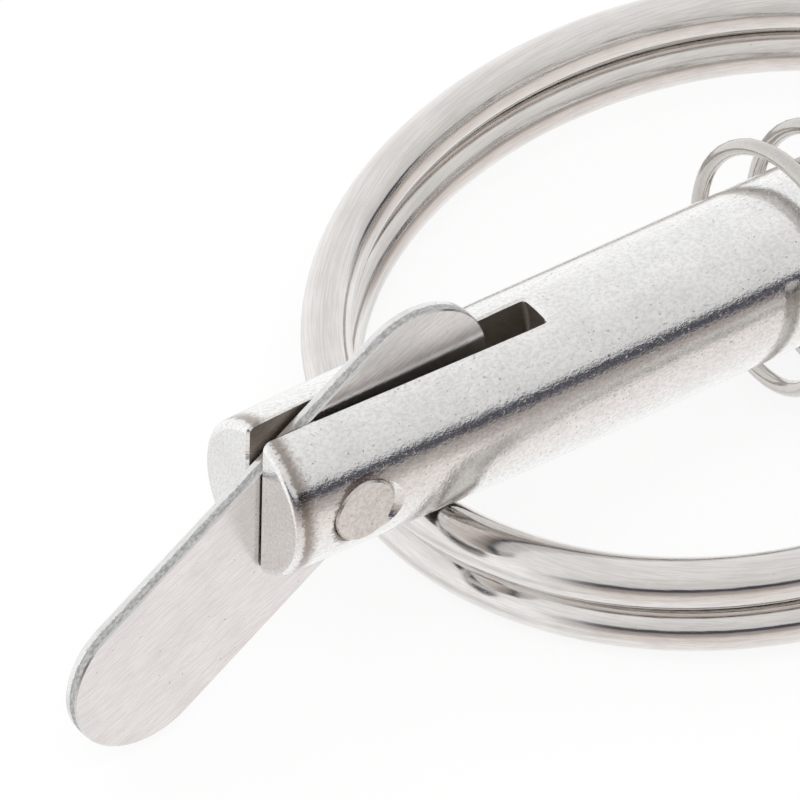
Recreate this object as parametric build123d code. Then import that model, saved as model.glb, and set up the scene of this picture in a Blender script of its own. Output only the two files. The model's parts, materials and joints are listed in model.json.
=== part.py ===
from build123d import *
import os
from math import asin, cos, degrees, pi, radians, sin, sqrt, tan

# Quick release pin with a drop nose, lying on a table. All lengths are in millimetres and angles in degrees.
# The pin is first drawn level: x = 0 is the nose face, +X runs along the shaft to the head, and +Z is up.
# Last of all the whole pin is turned to the way it lies, with the table top at z = 0.

# Shaft
shaft_diameter = 6.35
head_past_ring_hole = 4.6
nose_rounding = 0.32
head_rounding = 0.7

# Slot that the drop nose turns in, sawn lengthwise from the nose end, and the two jaws it leaves
slot_width = 1.4
slot_length = 12.75
saw_diameter = 25.0
saw_edge_rounding = 0.2
slot_edge_break = 0.1
jaw_root_before_slot_end = 1.25
jaw_pinch = 0.28
slot_turn = 3.0
slot_shift = 0.15

# Rivet across the jaws
pivot_from_nose = 3.0
rivet_diameter = 2.55
rivet_sink = 0.13
rivet_end_chamfer = 0.08
rivet_hole_clearance = 0.01
countersink_depth = 0.25
countersink_widening = 0.24

# Drop nose, a flat tab with round ends
nose_tab_width = 6.2
nose_tab_thickness = 0.65
nose_tab_long_end = 12.65
nose_tab_short_end = 7.7
nose_tab_hole_offset = 0.2
nose_tab_hole_clearance = 0.06
nose_tab_edge_break = 0.06
nose_tab_droop = 34.0

# Conical wire spring, large end toward the nose
spring_wire = 0.62
spring_end_before_ring_hole = 2.6
spring_large_radius = 4.6
spring_shaft_clearance = 0.05
spring_pitch = 2.64
spring_closed_pitch = 0.66
spring_open_turns = 4.3
spring_closed_turns_front = 0.65
spring_closed_turns_back = 1.0
spring_start_angle = 155.0
spring_points_per_turn = 16
spring_drop = 0.29
spring_side_shift = 0.24
spring_side_lean = 4.3
spring_down_lean = 2.7

# Split ring, one wire wound into two flat turns, through the cross hole near the head
ring_hole_from_nose = 38.0
ring_hole_clearance = 0.14
ring_hole_edge_break = 0.15
ring_wire = 1.9
ring_mean_radius = 15.35
ring_turn_gap = 0.2
ring_skew = 5.0
ring_crossing_shift = 0.2
ring_step_angle = 318.0
ring_step_half_span = 13.0
ring_end_gap = 1.5
ring_end_chamfer = 0.25
ring_rest_gap = 0.22

# How the pin lies on the table
lie_pitch = 7.13
lie_roll = 0.15

shaft_radius = shaft_diameter / 2
shaft_length = ring_hole_from_nose + head_past_ring_hole
jaw_root = slot_length - jaw_root_before_slot_end
rivet_radius = rivet_diameter / 2
wire_radius = ring_wire / 2
turn_offset = (ring_wire + ring_turn_gap) / 2
stack_half = turn_offset + wire_radius

# The ring lies folded back under the shaft, its far side touching the jaws from below.
ring_reach = 2 * ring_mean_radius * cos(radians(ring_skew)) - ring_crossing_shift
ring_fold = degrees(asin((shaft_radius + stack_half + ring_rest_gap) / ring_reach))

# Inside the cross hole the ring's curve and skew carry each turn a little to one side.
ring_bend = ring_mean_radius - sqrt(ring_mean_radius**2 - shaft_radius**2)
mouth_offset = max(
    ring_bend + shaft_radius * tan(radians(ring_skew)) - ring_crossing_shift, ring_crossing_shift
)
ring_hole_radius = sqrt(mouth_offset**2 + turn_offset**2) + wire_radius + ring_hole_clearance

spring_small_radius = shaft_radius + spring_shaft_clearance + spring_wire / 2
spring_turns = spring_closed_turns_front + spring_open_turns + spring_closed_turns_back
spring_closed_length = (spring_closed_turns_front + spring_closed_turns_back) * spring_closed_pitch
spring_length = spring_closed_length + spring_open_turns * spring_pitch
spring_front = ring_hole_from_nose - spring_end_before_ring_hole - spring_length

turn_slot = Rot(slot_turn, 0, 0)
nose_pivot = Pos(pivot_from_nose, 0, 0)


def upright_cylinder(radius, length):
    """A round bar along Y, centred on the origin."""
    return Rot(90, 0, 0) * Cylinder(radius, length)


def pinch_at(x):
    """How far each jaw leans in toward the slot, x from the nose."""
    return jaw_pinch * max(0.0, 1 - x / jaw_root)


def jaw(side):
    """One D-shaped jaw, leaning in from the jaw root to the nose face."""
    middle = side * (slot_width / 2 + shaft_diameter) - slot_shift
    beside_slot = Pos(middle, 0) * Rectangle(2 * shaft_diameter, 2 * shaft_diameter)
    outline = Circle(shaft_radius) & beside_slot
    root = Pos(jaw_root, 0, 0) * (Plane.YZ * outline)
    run = Vector(-jaw_root, -side * jaw_pinch, 0)
    bar = extrude(root, amount=run.length, dir=run)
    rim = bar.edges().filter_by(GeomType.CIRCLE).group_by(Axis.X)[0]
    bar = fillet(rim, nose_rounding)
    slot_corners = bar.edges().filter_by(lambda edge: edge.bounding_box().size.X > jaw_root / 2)
    return chamfer(slot_corners, slot_edge_break)


def is_slot_mouth(edge):
    """True for the edges where the slot's closed end opens on the shaft's round surface."""
    middle = edge @ 0.5
    near_slot_end = jaw_root + slot_edge_break < middle.X < slot_length
    return near_slot_end and abs(Vector(0, middle.Y, middle.Z).length - shaft_radius) < slot_edge_break / 10


def is_ring_hole_mouth(edge):
    """True for the curved edge where the ring's cross hole opens on the shaft."""
    middle = edge.bounding_box().center().X
    return edge.geom_type != GeomType.LINE and abs(middle - ring_hole_from_nose) < ring_hole_edge_break


def make_pin_shaft():
    rod_length = shaft_length - jaw_root
    rod = Pos(jaw_root + rod_length / 2, 0, 0) * Rot(0, 90, 0) * Cylinder(shaft_radius, rod_length)
    rod = fillet(rod.edges().group_by(Axis.X)[-1], head_rounding)
    saw = upright_cylinder(saw_diameter / 2, slot_width)
    saw = fillet(saw.edges().filter_by(GeomType.CIRCLE), saw_edge_rounding)
    rod -= Pos(slot_length - saw_diameter / 2, -slot_shift, 0) * saw
    rod = chamfer(rod.edges().filter_by(is_slot_mouth), slot_edge_break)
    shaft = rod + jaw(1) + jaw(-1)
    shaft -= nose_pivot * upright_cylinder(rivet_radius + rivet_hole_clearance, 2 * shaft_diameter)
    crown = shaft_radius - pinch_at(pivot_from_nose)
    for side in (1, -1):
        sink = Cone(
            rivet_radius + rivet_hole_clearance,
            rivet_radius + rivet_hole_clearance + 2 * countersink_widening,
            2 * countersink_depth,
        )
        shaft -= nose_pivot * Pos(0, side * crown, 0) * Rot(-90 * side, 0, 0) * sink
    shaft = turn_slot * shaft
    shaft -= Pos(ring_hole_from_nose, 0, 0) * upright_cylinder(ring_hole_radius, 2 * shaft_diameter)
    mouths = shaft.edges().filter_by(is_ring_hole_mouth)
    return chamfer(mouths, ring_hole_edge_break)


def make_rivet():
    crown = shaft_radius - pinch_at(pivot_from_nose)
    rivet = upright_cylinder(rivet_radius, 2 * (crown - rivet_sink))
    rivet = chamfer(rivet.edges().filter_by(GeomType.CIRCLE), rivet_end_chamfer)
    return turn_slot * nose_pivot * rivet


def make_drop_nose():
    """The tab is drawn in line with the shaft about its pivot, then turned to hang down past the nose."""
    length = nose_tab_long_end + nose_tab_short_end
    middle = (nose_tab_short_end - nose_tab_long_end) / 2
    outline = Pos(middle, -nose_tab_hole_offset) * SlotOverall(length, nose_tab_width)
    tab = extrude(Plane.XZ * outline, amount=nose_tab_thickness / 2, both=True)
    rims = tab.edges().filter_by(GeomType.CIRCLE) + tab.edges().filter_by(Axis.X)
    tab = chamfer(rims, nose_tab_edge_break)
    tab -= upright_cylinder(rivet_radius + nose_tab_hole_clearance, 2 * nose_tab_thickness)
    return turn_slot * nose_pivot * Pos(0, -slot_shift, 0) * Rot(0, -nose_tab_droop, 0) * tab


def spring_path_point(turn):
    """The wire's centre after so many turns from its front end: closed at both ends and open between."""
    front = min(turn, spring_closed_turns_front)
    open_part = min(max(turn - spring_closed_turns_front, 0), spring_open_turns)
    back = max(turn - spring_closed_turns_front - spring_open_turns, 0)
    advance = (front + back) * spring_closed_pitch + open_part * spring_pitch
    share = turn / spring_turns
    loose = 1 - share
    radius = spring_large_radius + (spring_small_radius - spring_large_radius) * share
    angle = radians(spring_start_angle + 360 * turn)
    y = radius * cos(angle)
    z = radius * sin(angle)
    lean = (tan(radians(spring_side_lean)) * y + tan(radians(spring_down_lean)) * z) * loose
    return Vector(
        spring_front + advance + lean, y + spring_side_shift * loose, z - spring_drop * loose
    )


def make_spring():
    count = round(spring_turns * spring_points_per_turn)
    path = Spline([spring_path_point(spring_turns * i / count) for i in range(count + 1)])
    return sweep(Plane(origin=path @ 0, z_dir=path % 0) * Circle(spring_wire / 2), path=path)


def ring_point(angle, height):
    """A point on the ring's centre line, in the ring's own frame."""
    turn = radians(angle)
    return Vector(ring_mean_radius * cos(turn), ring_mean_radius * sin(turn), height)


def ring_turn(first, last, height):
    """One flat turn of the ring between two angles, as a bent round bar."""
    arc = CenterArc((0, 0, height), ring_mean_radius, first, last - first)
    return arc, sweep(Plane(origin=arc @ 0, z_dir=arc % 0) * Circle(wire_radius), path=arc)


def make_split_ring():
    """Two flat turns and the step between them. Angles count from +X, where the ring crosses the shaft."""
    start = ring_step_angle + ring_step_half_span
    stop = ring_step_angle + 360 - ring_step_half_span
    end_gap = degrees(ring_end_gap / ring_mean_radius)
    lower_arc, lower = ring_turn(start + end_gap, stop, -turn_offset)
    upper_arc, upper = ring_turn(start, stop - end_gap, turn_offset)
    rise = [
        ring_point(
            ring_step_angle + share * ring_step_half_span, turn_offset * sin(share * pi / 2)
        )
        for share in (-1, -0.5, 0, 0.5, 1)
    ]
    step_path = Spline(rise, tangents=[lower_arc % 1, upper_arc % 0])
    step = sweep(Plane(origin=step_path @ 0, z_dir=step_path % 0) * Circle(wire_radius), path=step_path)
    ring = lower + step + upper
    ring = chamfer(ring.faces().filter_by(GeomType.PLANE).edges(), ring_end_chamfer)
    crossing_to_centre = Pos(-(ring_mean_radius - ring_crossing_shift), 0, 0)
    return (
        Pos(ring_hole_from_nose, 0, 0)
        * Rot(0, -ring_fold, 0)
        * Rot(0, 0, -ring_skew)
        * crossing_to_centre
        * ring
    )


def lie_on_table(pieces):
    """Turn the pin to the way it lies, and put the middle of its box over the origin with its bottom at z = 0."""
    turned = {name: Rot(lie_roll, 0, 0) * Rot(0, lie_pitch, 0) * piece for name, piece in pieces.items()}
    box = Compound(list(turned.values())).bounding_box()
    to_origin = Pos(-box.center().X, -box.center().Y, -box.min.Z)
    return {name: to_origin * piece for name, piece in turned.items()}


pieces = lie_on_table(
    {
        "pin_shaft": make_pin_shaft(),
        "pivot_rivet": make_rivet(),
        "drop_nose": make_drop_nose(),
        "spring": make_spring(),
        "split_ring": make_split_ring(),
    }
)

os.makedirs("parts", exist_ok=True)
for name, piece in pieces.items():
    export_step(piece, f"parts/{name}.step")
    print(name, piece.is_valid, round(piece.volume, 3))
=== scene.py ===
# %% [markdown]
# A quick release pin, dressed for a close-up
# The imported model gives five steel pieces: a slotted shaft, a rivet, a flat drop nose, a conical spring and a
# split ring. This lesson puts a camera where the photographer stood, builds a bright studio for steel to
# mirror, and then gives each piece the small marks that its own making leaves on it.

# %% The frame and its size
import json
from math import atan2, cos, degrees, pi, radians, sin, tan

import bpy
import numpy as np
from mathutils import Matrix, Vector


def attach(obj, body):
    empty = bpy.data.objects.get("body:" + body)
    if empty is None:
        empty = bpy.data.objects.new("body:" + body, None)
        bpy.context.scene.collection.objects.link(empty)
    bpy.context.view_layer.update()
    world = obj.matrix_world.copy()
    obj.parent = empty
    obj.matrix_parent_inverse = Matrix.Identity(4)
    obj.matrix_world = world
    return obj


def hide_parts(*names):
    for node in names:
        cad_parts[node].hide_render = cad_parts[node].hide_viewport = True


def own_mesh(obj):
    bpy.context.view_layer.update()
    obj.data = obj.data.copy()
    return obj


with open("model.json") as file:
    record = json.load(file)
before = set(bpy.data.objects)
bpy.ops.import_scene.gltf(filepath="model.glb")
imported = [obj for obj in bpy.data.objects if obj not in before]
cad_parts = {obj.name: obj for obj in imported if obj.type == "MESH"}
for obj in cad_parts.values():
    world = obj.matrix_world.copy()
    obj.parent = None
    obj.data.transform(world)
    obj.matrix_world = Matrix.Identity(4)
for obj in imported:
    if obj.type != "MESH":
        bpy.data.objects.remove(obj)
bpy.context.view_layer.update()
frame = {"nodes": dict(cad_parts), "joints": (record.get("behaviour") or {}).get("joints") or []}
bpy.ops.object.select_all(action="DESELECT")
MM = 0.001

# %% [markdown]
# The pin lies tilted on the table, so most places are easier to name in the pin's own directions: along the
# shaft from the nose to the head, across it along the ring's hole, and out of it upwards. The rivet's joint
# and the ring's joint both lie on the shaft's middle line, so the frame's joints give all three directions.

# %% The pin's own directions
joints = {joint["name"]: joint for joint in frame["joints"]}
pivot_place = Vector(joints["nose_pivot"]["pos_m"])
ring_place = Vector(joints["ring_swing"]["pos_m"])
pin_along = (ring_place - pivot_place).normalized()
pin_across = -Vector(joints["ring_swing"]["axis"]).normalized()
pin_up = pin_along.cross(pin_across).normalized()
rivet_along = Vector(joints["nose_pivot"]["axis"]).normalized()
pivot_from_nose = 3.0 * MM
nose_face = pivot_place - pin_along * pivot_from_nose


def pin_point(x, y, z):
    """A place given in millimetres along, across and up from the middle of the nose face."""
    return nose_face + MM * (x * pin_along + y * pin_across + z * pin_up)


print("shaft slopes down by", round(degrees(atan2(-pin_along.z, pin_along.x)), 2), "degrees")

# %% [markdown]
# The camera is set from what the picture shows of the shaft: how far it points away from the viewer, how
# steeply it rises across the picture, how it is rolled about its own line, and where its nose lies. A long
# lens from a fair distance keeps the perspective as gentle as it is in a close-up of small hardware.

# %% The camera
shaft_away_angle = radians(62.293)
shaft_rise_angle = radians(24.296)
shaft_roll_angle = radians(46.673)
nose_pixel = (250.9, 499.7)
picture_size = 800
pixels_per_mm = 28.161
camera_distance = 403.3

# The shaft's direction and two directions square to it, seen by the camera: right, down and away.
seen_along = Vector(
    (
        sin(shaft_away_angle) * cos(shaft_rise_angle),
        -sin(shaft_away_angle) * sin(shaft_rise_angle),
        cos(shaft_away_angle),
    )
)
seen_low = Vector((sin(shaft_rise_angle), cos(shaft_rise_angle), 0))
seen_near = seen_low.cross(seen_along)
seen_across = -(cos(shaft_roll_angle) * seen_low + sin(shaft_roll_angle) * seen_near)
seen_up = -sin(shaft_roll_angle) * seen_low + cos(shaft_roll_angle) * seen_near


def world_direction(seen):
    """Turns a direction from the camera's right, down and away into the frame's own."""
    return (
        seen.dot(seen_along) * pin_along + seen.dot(seen_across) * pin_across + seen.dot(seen_up) * pin_up
    )


camera_right = world_direction(Vector((1, 0, 0)))
camera_down = world_direction(Vector((0, 1, 0)))
camera_away = world_direction(Vector((0, 0, 1)))
half_picture = picture_size / 2
camera_place = nose_face - MM * (
    (nose_pixel[0] - half_picture) / pixels_per_mm * camera_right
    + (nose_pixel[1] - half_picture) / pixels_per_mm * camera_down
    + camera_distance * camera_away
)
bpy.ops.object.camera_add(location=camera_place)
camera = bpy.context.object
camera.rotation_mode = "QUATERNION"
camera_turn = Matrix((camera_right, -camera_down, -camera_away)).transposed()
camera.rotation_quaternion = camera_turn.to_quaternion()
camera.data.sensor_width = 36
camera.data.lens = camera.data.sensor_width * pixels_per_mm * camera_distance / picture_size
camera.data.clip_start = 0.01
camera.data.clip_end = 5
bpy.context.scene.camera = camera
print("lens in mm:", round(camera.data.lens, 1))

# %% [markdown]
# Polished steel has almost no colour of its own: it shows what stands round it. Here that is a white tent on
# a white table. At the front, where the photographer stands, a dark gap is left between the tent's hem and
# the table, and it draws the dark line that runs along the shaft and round the ring's wires. The tent is
# built in the world from a ray's height and its side, so each place in it is one colour, seen from anywhere.

# %% Small helpers for nodes
def add_node(tree, kind, values=None, **settings):
    """Adds a node, sets its properties, and sets its inputs by name or number."""
    node = tree.nodes.new(kind)
    for name, setting in settings.items():
        setattr(node, name, setting)
    for name, value in (values or {}).items():
        if isinstance(value, bpy.types.NodeSocket):
            tree.links.new(value, node.inputs[name])
        else:
            node.inputs[name].default_value = value
    return node


def maths(tree, operation, first, second=0.0, clamp=False):
    """One Math node, given back as its output."""
    values = {0: first, 1: second}
    return add_node(tree, "ShaderNodeMath", values, operation=operation, use_clamp=clamp).outputs[0]


def dot(tree, vector, direction):
    """How far a vector reaches along a fixed direction."""
    values = {0: vector, 1: tuple(direction)}
    return add_node(tree, "ShaderNodeVectorMath", values, operation="DOT_PRODUCT").outputs["Value"]


def vector_maths(tree, operation, first, second):
    """One Vector Math node, given back as its output."""
    return add_node(tree, "ShaderNodeVectorMath", {0: first, 1: second}, operation=operation).outputs[0]


def length(tree, vector):
    """How long a vector is."""
    return add_node(tree, "ShaderNodeVectorMath", {0: vector}, operation="LENGTH").outputs["Value"]


def scaled(tree, value, scale, offset):
    """A value times a number, plus another."""
    result = maths(tree, "MULTIPLY_ADD", value, scale)
    result.node.inputs[2].default_value = offset
    return result


def product(tree, *values):
    """Multiplies values together."""
    result = values[0]
    for value in values[1:]:
        result = maths(tree, "MULTIPLY", result, value)
    return result


def ramp(tree, factor, stops):
    """A colour ramp through stops of a position and a grey or a colour."""
    node = add_node(tree, "ShaderNodeValToRGB", {"Fac": factor})
    elements = node.color_ramp.elements
    while len(elements) < len(stops):
        elements.new(0.5)
    for element, (place, colour) in zip(elements, stops):
        element.position = place
        element.color = (*colour, 1) if isinstance(colour, tuple) else (colour, colour, colour, 1)
    return node.outputs["Color"]


# %% The tent
# Each stop is a height, from -1 straight down to 1 straight up, and the colour of the tent or table there.
FRONT_OF_TENT = (
    (-1.00, (1.00, 0.98, 0.97)),
    (-0.85, (0.97, 0.94, 0.93)),
    (-0.70, (0.93, 0.88, 0.86)),
    (-0.40, (0.84, 0.78, 0.75)),
    (-0.22, (0.50, 0.45, 0.43)),
    (-0.02, (0.38, 0.34, 0.32)),
    (0.03, (0.08, 0.08, 0.10)),
    (0.21, (0.08, 0.08, 0.10)),
    (0.25, (0.74, 0.74, 0.74)),
    (0.43, (0.78, 0.77, 0.76)),
    (1.00, (0.92, 0.91, 0.90)),
)
BACK_OF_TENT = (
    (-1.00, 1.00),
    (-0.85, 1.05),
    (-0.62, 0.85),
    (-0.40, 1.08),
    (0.05, 1.10),
    (0.34, 1.03),
    (1.00, 0.92),
)


def height_stops(stops):
    """Moves heights from -1 to 1 onto a ramp from 0 to 1."""
    return [((height + 1) / 2, colour) for height, colour in stops]


world = bpy.data.worlds.new("white_tent")
bpy.context.scene.world = world
world.use_nodes = True
tent_tree = world.node_tree
tent_tree.nodes.clear()
ray = add_node(tent_tree, "ShaderNodeTexCoord").outputs["Generated"]
height = scaled(tent_tree, dot(tent_tree, ray, (0, 0, 1)), 0.5, 0.5)
front = add_node(
    tent_tree,
    "ShaderNodeMapRange",
    {"Value": dot(tent_tree, ray, (0, -1, 0)), "From Min": -0.1, "From Max": 0.3},
    interpolation_type="SMOOTHSTEP",
)
tent_sides = add_node(
    tent_tree,
    "ShaderNodeMix",
    {
        "Factor": front.outputs[0],
        6: ramp(tent_tree, height, height_stops(BACK_OF_TENT)),
        7: ramp(tent_tree, height, height_stops(FRONT_OF_TENT)),
    },
    data_type="RGBA",
)
tent_colour = tent_sides.outputs[2]
light_path = add_node(tent_tree, "ShaderNodeLightPath")
tent_light = add_node(tent_tree, "ShaderNodeBackground", {"Color": tent_colour, "Strength": 1.0})
plain_light = add_node(tent_tree, "ShaderNodeBackground", {"Color": (1, 1, 1, 1), "Strength": 1.0})
tent_mix = add_node(
    tent_tree,
    "ShaderNodeMixShader",
    {0: light_path.outputs["Is Camera Ray"], 1: tent_light.outputs[0], 2: plain_light.outputs[0]},
)
add_node(tent_tree, "ShaderNodeOutputWorld", {"Surface": tent_mix.outputs[0]})

# %% [markdown]
# The floor is a plain white sheet. To the camera it is mostly its own white and a little lit, so it stays as
# pale as the tent and still keeps a trace of the pin's soft shadow. Steel looks through it to the tent.

# %% The floor
SHEET_GLOW = 0.86
bpy.ops.mesh.primitive_plane_add(size=3)
floor = bpy.context.object
floor.name = "floor"
floor_paint = bpy.data.materials.new("white_sheet")
floor_paint.use_nodes = True
sheet_tree = floor_paint.node_tree
sheet_tree.nodes.clear()
sheet_path = add_node(sheet_tree, "ShaderNodeLightPath")
sheet_white = add_node(sheet_tree, "ShaderNodeBsdfDiffuse", {"Color": (0.95, 0.95, 0.95, 1)})
sheet_glow = add_node(sheet_tree, "ShaderNodeEmission", {"Color": (1, 1, 1, 1), "Strength": 1.0})
sheet_share = maths(sheet_tree, "MULTIPLY", sheet_path.outputs["Is Camera Ray"], SHEET_GLOW)
sheet_seen = add_node(
    sheet_tree, "ShaderNodeMixShader", {0: sheet_share, 1: sheet_white.outputs[0], 2: sheet_glow.outputs[0]}
)
sheet_clear = add_node(sheet_tree, "ShaderNodeBsdfTransparent")
sheet_missed = maths(
    sheet_tree, "MAXIMUM", sheet_path.outputs["Is Glossy Ray"], sheet_path.outputs["Is Shadow Ray"]
)
sheet_mix = add_node(
    sheet_tree,
    "ShaderNodeMixShader",
    {0: sheet_missed, 1: sheet_seen.outputs[0], 2: sheet_clear.outputs[0]},
)
add_node(sheet_tree, "ShaderNodeOutputMaterial", {"Surface": sheet_mix.outputs[0]})
floor.data.materials.append(floor_paint)

# %% A soft lamp over the pin
bpy.ops.object.light_add(type="AREA", location=(-0.1, -0.25, 0.5))
soft_lamp = bpy.context.object
soft_lamp.data.size = 0.5
soft_lamp.data.energy = 1.0
soft_lamp.rotation_euler = (Vector((0, 0, 0)) - soft_lamp.location).to_track_quat("-Z", "Y").to_euler()
soft_lamp.visible_glossy = False
bpy.context.scene.view_settings.view_transform = "Standard"

# %% [markdown]
# Every finish on this pin is steel, and what tells one from another is its fine surface: the grain that
# tumbling leaves, lengthwise and crosswise scratches, small dark pits. Two node groups make these once. The
# first reads a place in millimetres along a piece's own directions, so a grain can run along a shaft or
# across a tab. The second turns that reading into a grain, a set of pits and a slow cloudiness.

# %% The reading group
def new_group(name, inputs, outputs):
    """A shader node group with its sockets made, and its two end nodes."""
    group = bpy.data.node_groups.new(name, "ShaderNodeTree")
    for socket_name, kind in inputs:
        group.interface.new_socket(name=socket_name, in_out="INPUT", socket_type=kind)
    for socket_name, kind in outputs:
        group.interface.new_socket(name=socket_name, in_out="OUTPUT", socket_type=kind)
    return group, group.nodes.new("NodeGroupInput"), group.nodes.new("NodeGroupOutput")


VECTOR, FLOAT = "NodeSocketVector", "NodeSocketFloat"
reading, given, made = new_group(
    "piece_reading",
    [("Vector", VECTOR), ("Start", VECTOR), ("Along", VECTOR), ("Across", VECTOR), ("Up", VECTOR)],
    [("Reading", VECTOR), ("Along", FLOAT), ("Across", FLOAT), ("Up", FLOAT)],
)
from_start = vector_maths(reading, "SUBTRACT", given.outputs["Vector"], given.outputs["Start"])
in_millimetres = add_node(
    reading, "ShaderNodeVectorMath", {0: from_start, "Scale": 1 / MM}, operation="SCALE"
).outputs[0]
reading_parts = add_node(reading, "ShaderNodeCombineXYZ")
for number, side in enumerate(("Along", "Across", "Up")):
    reach = add_node(
        reading, "ShaderNodeVectorMath", {0: in_millimetres, 1: given.outputs[side]}, operation="DOT_PRODUCT"
    ).outputs["Value"]
    reading.links.new(reach, made.inputs[side])
    reading.links.new(reach, reading_parts.inputs[number])
reading.links.new(reading_parts.outputs[0], made.inputs["Reading"])

# %% The grain group
grain, given, made = new_group(
    "steel_grain",
    [
        ("Reading", VECTOR),
        ("Grain", VECTOR),
        ("Pit Size", FLOAT),
        ("Pit Share", FLOAT),
        ("Cloud Size", FLOAT),
    ],
    [("Grain", FLOAT), ("Pits", FLOAT), ("Clouds", FLOAT)],
)


def noise(tree, vector, detail, roughness=0.55):
    """A noise texture on a vector that is already at its own scale."""
    values = {"Vector": vector, "Scale": 1.0, "Detail": detail, "Roughness": roughness}
    return add_node(tree, "ShaderNodeTexNoise", values).outputs[0]


def shrink(tree, vector, size):
    """Divides a reading by the size of a mark, so that the mark comes out that large."""
    return vector_maths(tree, "DIVIDE", vector, size)


def steps(tree, value, low, high, first=0.0, last=1.0):
    """A smooth change from one value to another between two limits."""
    values = {"Value": value, "From Min": low, "From Max": high, "To Min": first, "To Max": last}
    return add_node(tree, "ShaderNodeMapRange", values, interpolation_type="SMOOTHSTEP").outputs[0]


PIT_LEVEL, PIT_SHARPNESS = 0.80, 14.0
grain_place, pit_place, cloud_place = [
    shrink(grain, given.outputs["Reading"], given.outputs[size])
    for size in ("Grain", "Pit Size", "Cloud Size")
]
grain.links.new(noise(grain, grain_place, 3.0, 0.65), made.inputs["Grain"])
pit_level = maths(grain, "SUBTRACT", PIT_LEVEL, given.outputs["Pit Share"])
above_level = maths(grain, "SUBTRACT", noise(grain, pit_place, 1.0), pit_level)
pits = maths(grain, "MULTIPLY", above_level, PIT_SHARPNESS, clamp=True)
grain.links.new(pits, made.inputs["Pits"])
clouds = noise(grain, cloud_place, 3.0)
grain.links.new(clouds, made.inputs["Clouds"])


# %% [markdown]
# One function then makes a steel: it places both groups in a new material, and mixes their marks into colour,
# roughness and bump. Sizes of marks are in millimetres: along the piece, across it and up from it.

# %% The steel function
PIT_SIZE, CLOUD_SIZE = 0.14, 1.6
DULLER = 0.72
SPECKLE_FROM, SPECKLE_TO = 0.62, 0.36
CLOUD_FROM, CLOUD_TO, CLOUD_STRENGTH = 0.35, 0.75, 0.25
PIT_COLOUR, PIT_STRENGTH, PIT_DEPTH = (0.32, 0.29, 0.27), 0.5, 0.8
ROUGHNESS_SPREAD = 0.12


def steel(name, directions, start, colour, roughness, grain_size, grain_depth, pit_share, speckle):
    """A metal whose marks follow a piece's own directions, with its tree, shader, reading and marks."""
    paint = bpy.data.materials.new(name)
    paint.use_nodes = True
    tree = paint.node_tree
    shader = tree.nodes["Principled BSDF"]
    shader.inputs["Metallic"].default_value = 1.0
    place = add_node(tree, "ShaderNodeTexCoord").outputs["Object"]
    read = add_node(tree, "ShaderNodeGroup", node_tree=reading)
    for socket, value in zip(("Start", "Along", "Across", "Up"), (start, *directions)):
        read.inputs[socket].default_value = tuple(value)
    tree.links.new(place, read.inputs["Vector"])
    marks = add_node(tree, "ShaderNodeGroup", node_tree=grain)
    tree.links.new(read.outputs["Reading"], marks.inputs["Reading"])
    marks.inputs["Grain"].default_value = grain_size
    marks.inputs["Pit Size"].default_value = PIT_SIZE
    marks.inputs["Pit Share"].default_value = pit_share
    marks.inputs["Cloud Size"].default_value = CLOUD_SIZE
    grain_mark, pit_mark, cloud_mark = (marks.outputs[mark] for mark in ("Grain", "Pits", "Clouds"))
    dull = tuple(DULLER * part for part in colour)
    specks = steps(tree, grain_mark, SPECKLE_FROM, SPECKLE_TO, 0.0, speckle)
    speckled = mix_colour(tree, specks, colour, dull)
    haze = steps(tree, cloud_mark, CLOUD_FROM, CLOUD_TO, 0.0, CLOUD_STRENGTH)
    cloudy = mix_colour(tree, haze, speckled, dull)
    pitted = mix_colour(tree, maths(tree, "MULTIPLY", pit_mark, PIT_STRENGTH), cloudy, PIT_COLOUR)
    tree.links.new(pitted, shader.inputs["Base Color"])
    rough = scaled(tree, grain_mark, ROUGHNESS_SPREAD, roughness - ROUGHNESS_SPREAD / 2)
    tree.links.new(rough, shader.inputs["Roughness"])
    relief = maths(tree, "SUBTRACT", grain_mark, maths(tree, "MULTIPLY", pit_mark, PIT_DEPTH))
    bump = add_node(tree, "ShaderNodeBump", {"Height": relief, "Strength": 1.0, "Distance": grain_depth * MM})
    tree.links.new(bump.outputs[0], shader.inputs["Normal"])
    return paint, tree, shader, read, marks


def mix_colour(tree, factor, first, second):
    """Mixes two colours, each a socket or three numbers."""
    node = add_node(tree, "ShaderNodeMix", {"Factor": factor}, data_type="RGBA")
    for number, colour in ((6, first), (7, second)):
        if isinstance(colour, bpy.types.NodeSocket):
            tree.links.new(colour, node.inputs[number])
        else:
            node.inputs[number].default_value = (*colour, 1)
    return node.outputs[2]


def paint_node(name, paint):
    """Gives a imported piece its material."""
    slots = frame["nodes"][name].data.materials
    slots.clear()
    slots.append(paint)


# %% [markdown]
# The shaft is ground bar, tumbled until its edges are soft. Its outside is bright, with a fine grain that
# breaks up the edges of every reflection. The slot's walls are as the saw left them, rough, and are painted
# darker, partly for the sawn finish and partly as painted shade inside the slot. A mask finds them: they lie
# within the slot's width and face across it, or close its end. Painted brown shade lies behind the rounded
# rim of the nose, and more lies in the sink round the rivet, on the side toward the nose.

# %% The shaft's steel
slot_up = pin_along.cross(rivet_along).normalized()
pin_directions = (pin_along, rivet_along, slot_up)
shaft_steel, tree, shader, read, marks = steel(
    "polished_steel",
    pin_directions,
    nose_face,
    (0.90, 0.895, 0.885),
    roughness=0.09,
    grain_size=(0.17, 0.12, 0.12),
    grain_depth=0.0078,
    pit_share=0.11,
    speckle=0.55,
)
along, across = read.outputs["Along"], read.outputs["Across"]
from_axis = length(tree, vector_maths(tree, "MULTIPLY", read.outputs["Reading"], (0, 1, 1)))
base_socket, rough_socket = shader.inputs["Base Color"], shader.inputs["Roughness"]
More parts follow.
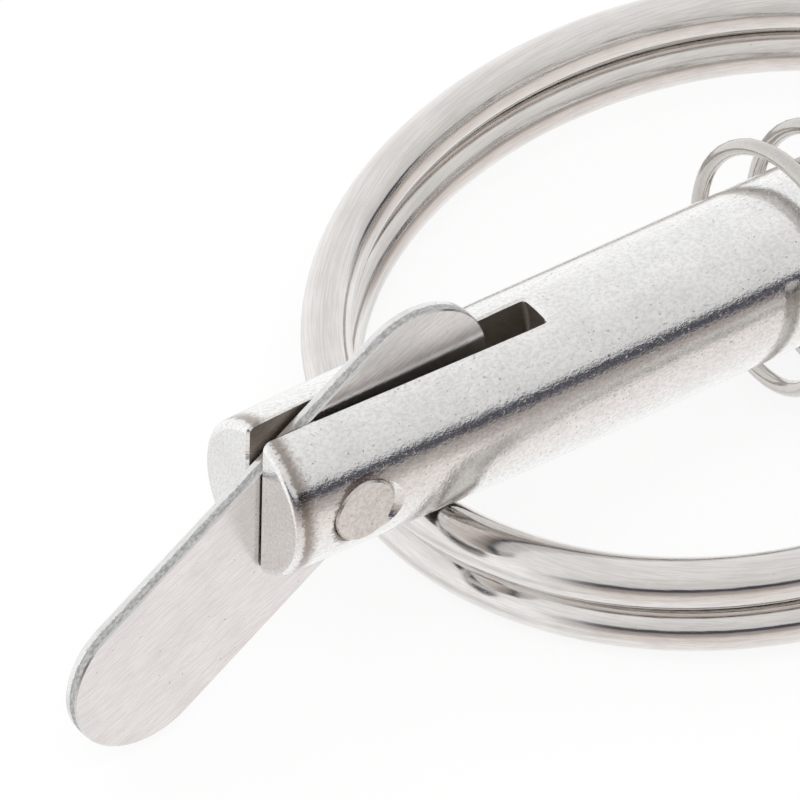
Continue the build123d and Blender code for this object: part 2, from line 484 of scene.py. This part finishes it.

# %% Painted shade behind the nose rim and round the rivet
# Painted shade: a brown-grey darkening of the colour behind the nose rim and in the rivet's sink, toward the
# nose.
RIM_SHADE_FROM, RIM_SHADE_TO = (0.16, 0.34), (0.42, 1.0)
RIVET_SHADE_EDGE = (1.42, 1.60)
TOWARD_NOSE = (-0.85, 0, 0.5)
TOWARD_NOSE_FADE = (-0.3, 0.9)
PAINTED_SHADE_REACH = 2.75
PAINTED_SHADE_STRENGTH, PAINTED_SHADE_COLOUR = 0.8, (0.24, 0.19, 0.16)
RAGGEDNESS = 0.5
ragged = scaled(tree, marks.outputs["Grain"], RAGGEDNESS, -RAGGEDNESS / 2)
from_nose = maths(tree, "ADD", along, ragged)
behind_rim = product(
    tree, steps(tree, from_nose, *RIM_SHADE_FROM), steps(tree, from_nose, *RIM_SHADE_TO, 1.0, 0.0)
)
beside_rivet = vector_maths(tree, "MULTIPLY", read.outputs["Reading"], (1, 0, 1))
beside_rivet = vector_maths(tree, "SUBTRACT", beside_rivet, (pivot_from_nose / MM, 0, 0))
noseward = steps(tree, dot(tree, beside_rivet, TOWARD_NOSE), *TOWARD_NOSE_FADE)
ragged_radius = maths(tree, "ADD", length(tree, beside_rivet), ragged)
round_rivet = product(tree, steps(tree, ragged_radius, *RIVET_SHADE_EDGE, 1.0, 0.0), noseward)
is_outside = maths(tree, "SUBTRACT", 1.0, maths(tree, "LESS_THAN", from_axis, PAINTED_SHADE_REACH))
# The painted shade is mixed into the shaft's colour here.
painted_shade = product(tree, maths(tree, "MAXIMUM", behind_rim, round_rivet), is_outside, PAINTED_SHADE_STRENGTH)
tree.links.new(mix_colour(tree, painted_shade, base_socket.links[0].from_socket, PAINTED_SHADE_COLOUR), base_socket)

# %% The slot's sawn walls, partly painted shade
SLOT_MIDDLE, SLOT_HALF, SLOT_END = -0.15, 0.74, 13.0
SAW_CURVE_START, SAW_CURVE_REACH = 11.6, 3.05
FACING_ACROSS = 0.80
# The walls' colours are darker partly for the rough sawn finish and partly as painted shade inside the slot.
SHADED_SAWN_DARK, SHADED_SAWN_LIGHT, SAWN_ROUGHNESS = (0.34, 0.30, 0.26), (0.62, 0.57, 0.52), 0.5
surface_normal = add_node(tree, "ShaderNodeNewGeometry").outputs["Normal"]
faces_across = maths(tree, "ABSOLUTE", dot(tree, surface_normal, rivet_along))
is_wall = maths(tree, "GREATER_THAN", faces_across, FACING_ACROSS)
is_end = product(
    tree,
    maths(tree, "LESS_THAN", from_axis, SAW_CURVE_REACH),
    maths(tree, "GREATER_THAN", along, SAW_CURVE_START),
)
beside = maths(tree, "ABSOLUTE", maths(tree, "SUBTRACT", across, SLOT_MIDDLE))
sawn = product(
    tree,
    maths(tree, "MAXIMUM", is_wall, is_end),
    maths(tree, "LESS_THAN", beside, SLOT_HALF),
    maths(tree, "LESS_THAN", along, SLOT_END),
)
# Sawn finish and painted shade together give the walls' colour.
shaded_sawn_colour = mix_colour(tree, marks.outputs["Grain"], SHADED_SAWN_DARK, SHADED_SAWN_LIGHT)
tree.links.new(mix_colour(tree, sawn, base_socket.links[0].from_socket, shaded_sawn_colour), base_socket)
sawn_rough = product(tree, sawn, SAWN_ROUGHNESS)
tree.links.new(maths(tree, "MAXIMUM", rough_socket.links[0].from_socket, sawn_rough), rough_socket)
paint_node("pin_shaft", shaft_steel)

# %% [markdown]
# The rivet's ends were struck and then tumbled, so they are mottled and a little duller than the shaft.

# %% The rivet's steel
rivet_steel = steel(
    "rivet_steel",
    pin_directions,
    nose_face,
    (0.74, 0.71, 0.68),
    roughness=0.25,
    grain_size=(0.16, 0.16, 0.16),
    grain_depth=0.012,
    pit_share=0.11,
    speckle=0.7,
)[0]
paint_node("pivot_rivet", rivet_steel)

# %% [markdown]
# The drop nose is punched from sheet. Its faces keep the sheet's fine scratches, which run nearly lengthwise.
# Its rim shows how it was cut: a smooth rolled band where the punch went in, and a dark torn band where the
# metal gave way. The rim is where the surface no longer faces along the rivet.

# %% The drop nose's steel
tab_droop = radians(34)
scratch_lean = radians(9)
tab_along = cos(tab_droop - scratch_lean) * pin_along + sin(tab_droop - scratch_lean) * slot_up
tab_across = rivet_along
tab_up = tab_along.cross(tab_across).normalized()
tab_steel, tree, shader, read, marks = steel(
    "tab_steel",
    (tab_along, tab_across, tab_up),
    pivot_place,
    (0.86, 0.855, 0.85),
    roughness=0.22,
    grain_size=(0.9, 0.07, 0.07),
    grain_depth=0.0050,
    pit_share=0.07,
    speckle=0.40,
)

# %% The drop nose's torn rim
RIM_GRAIN = (0.16, 0.10, 0.16)
RIM_FACING, FACE_FACING = 0.30, 0.86
TEAR_RAGGEDNESS, TEAR_PLACE = 0.22, -0.06
TORN_FROM, TORN_TO = 0.35, 0.65
TORN_DARK, TORN_LIGHT, TORN_ROUGHNESS = (0.36, 0.36, 0.36), (0.58, 0.575, 0.57), 0.5
surface_normal = add_node(tree, "ShaderNodeNewGeometry").outputs["Normal"]
faces_out = maths(tree, "ABSOLUTE", dot(tree, surface_normal, rivet_along))
rim = steps(tree, faces_out, RIM_FACING, FACE_FACING, 1.0, 0.0)
rim_noise = noise(tree, shrink(tree, read.outputs["Reading"], RIM_GRAIN), 3.0)
tear_line = scaled(tree, rim_noise, TEAR_RAGGEDNESS, TEAR_PLACE)
beside = maths(tree, "SUBTRACT", read.outputs["Across"], SLOT_MIDDLE)
torn = product(tree, rim, maths(tree, "LESS_THAN", beside, tear_line))
torn_colour = mix_colour(tree, steps(tree, rim_noise, TORN_FROM, TORN_TO), TORN_DARK, TORN_LIGHT)
base_socket, rough_socket = shader.inputs["Base Color"], shader.inputs["Roughness"]
tree.links.new(mix_colour(tree, torn, base_socket.links[0].from_socket, torn_colour), base_socket)
torn_rough = product(tree, torn, TORN_ROUGHNESS)
tree.links.new(maths(tree, "MAXIMUM", rough_socket.links[0].from_socket, torn_rough), rough_socket)
paint_node("drop_nose", tab_steel)

# %% [markdown]
# The imported spring is one solid that can only slide whole. The dressed one is wound again on the same line,
# with its back end by the ring. The wire starts with part of a closed turn, opens out, and closes again, and
# its loose large end hangs a little low. Lengths are in millimetres.

# %% Winding the spring
WIRE_RADIUS = 0.31
SPRING_FRONT = 22.959
START_ANGLE = radians(155)
LARGE_RADIUS, SMALL_RADIUS = 4.6, 3.535
CLOSED_FRONT, OPEN_TURNS, CLOSED_BACK = 0.65, 4.3, 1.0
CLOSED_PITCH, OPEN_PITCH = 0.66, 2.64
SIDE_SHIFT, DROP = 0.24, 0.29
SIDE_LEAN, DOWN_LEAN = tan(radians(4.3)), tan(radians(2.7))
ALL_TURNS = CLOSED_FRONT + OPEN_TURNS + CLOSED_BACK
STEPS_IN_TURN = 48
POINTS_ROUND_WIRE = 20
END_BEVEL = 0.06


def spring_line(turn):
    """The middle of the wire after so many turns, and the direction straight out from the shaft there."""
    closed = min(turn, CLOSED_FRONT) + max(turn - CLOSED_FRONT - OPEN_TURNS, 0)
    opened = min(max(turn - CLOSED_FRONT, 0), OPEN_TURNS)
    loose = 1 - turn / ALL_TURNS
    radius = SMALL_RADIUS + (LARGE_RADIUS - SMALL_RADIUS) * loose
    angle = START_ANGLE + 2 * pi * turn
    y = radius * cos(angle)
    z = radius * sin(angle)
    x = SPRING_FRONT + closed * CLOSED_PITCH + opened * OPEN_PITCH + (SIDE_LEAN * y + DOWN_LEAN * z) * loose
    out = cos(angle) * pin_across + sin(angle) * pin_up
    return pin_point(x, y + SIDE_SHIFT * loose, z - DROP * loose), out


step_count = round(ALL_TURNS * STEPS_IN_TURN)
line = [spring_line(ALL_TURNS * step / step_count) for step in range(step_count + 1)]
corners = []
for step, (middle, out) in enumerate(line):
    before = line[max(step - 1, 0)][0]
    after = line[min(step + 1, step_count)][0]
    run = (after - before).normalized()
    side = run.cross(out).normalized()
    out = side.cross(run)
    hoops = [(0, WIRE_RADIUS)]
    if step == 0:
        hoops = [(0, WIRE_RADIUS - END_BEVEL), (END_BEVEL, WIRE_RADIUS)]
    if step == step_count:
        hoops = [(-END_BEVEL, WIRE_RADIUS), (0, WIRE_RADIUS - END_BEVEL)]
    for shift, radius in hoops:
        for number in range(POINTS_ROUND_WIRE):
            angle = 2 * pi * number / POINTS_ROUND_WIRE
            corners.append(middle + MM * (shift * run + radius * (cos(angle) * out + sin(angle) * side)))
hoop_count = len(corners) // POINTS_ROUND_WIRE
faces = [list(range(POINTS_ROUND_WIRE))[::-1]]
for hoop in range(hoop_count - 1):
    first = hoop * POINTS_ROUND_WIRE
    for number in range(POINTS_ROUND_WIRE):
        here, beside = first + number, first + (number + 1) % POINTS_ROUND_WIRE
        faces.append([here, beside, beside + POINTS_ROUND_WIRE, here + POINTS_ROUND_WIRE])
faces.append([(hoop_count - 1) * POINTS_ROUND_WIRE + number for number in range(POINTS_ROUND_WIRE)])
spring_mesh = bpy.data.meshes.new("pressed_spring")
spring_mesh.from_pydata(corners, [], faces)
spring_mesh.polygons.foreach_set("use_smooth", [len(face) == 4 for face in faces])
spring_mesh.update()
pressed_spring = bpy.data.objects.new("pressed_spring", spring_mesh)
bpy.context.collection.objects.link(pressed_spring)

# %% [markdown]
# The spring and the ring are drawn wire, tumbled bright. Their marks are fine and shallow, so the tent's dark
# gap shows as a clean line that winds along each turn.

# %% The spring's steel
spring_steel = steel(
    "spring_steel",
    pin_directions,
    nose_face,
    (0.62, 0.595, 0.57),
    roughness=0.12,
    grain_size=(0.12, 0.12, 0.12),
    grain_depth=0.0020,
    pit_share=0.03,
    speckle=0.3,
)[0]
spring_mesh.materials.append(spring_steel)

# %% [markdown]
# The ring's marks follow its wire. Its middle and the direction square to it come from its own points, and a
# reading round that middle replaces the straight one. The reading's two ends meet inside the shaft. The
# direction is turned to point up, so that the marks come out the same each time.

# %% The ring's steel
RING_RADIUS = 15.35
ring_points = np.array([tuple(corner.co) for corner in frame["nodes"]["split_ring"].data.vertices])
ring_centre = ring_points.mean(axis=0)
ring_axis = Vector(np.linalg.svd(ring_points - ring_centre, full_matrices=False)[2][2])
if ring_axis.z < 0:
    ring_axis.negate()
ring_far = (Vector(ring_centre) - ring_place).normalized()
ring_side = ring_axis.cross(ring_far).normalized()
ring_steel, tree, shader, read, marks = steel(
    "ring_steel",
    (ring_far, ring_side, ring_axis),
    ring_centre,
    (0.78, 0.755, 0.735),
    roughness=0.11,
    grain_size=(2.2, 0.08, 0.08),
    grain_depth=0.0018,
    pit_share=0.04,
    speckle=0.45,
)
turn = maths(tree, "ARCTAN2", read.outputs["Across"], read.outputs["Along"])
from_middle = length(tree, vector_maths(tree, "MULTIPLY", read.outputs["Reading"], (1, 1, 0)))
along_wire = add_node(
    tree,
    "ShaderNodeCombineXYZ",
    {0: product(tree, turn, RING_RADIUS), 1: from_middle, 2: read.outputs["Up"]},
).outputs[0]
tree.links.new(along_wire, marks.inputs["Reading"])
paint_node("split_ring", ring_steel)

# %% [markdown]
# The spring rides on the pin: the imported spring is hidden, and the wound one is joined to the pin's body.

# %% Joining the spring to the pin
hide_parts("spring")
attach(pressed_spring, "pin")
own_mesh(pressed_spring)
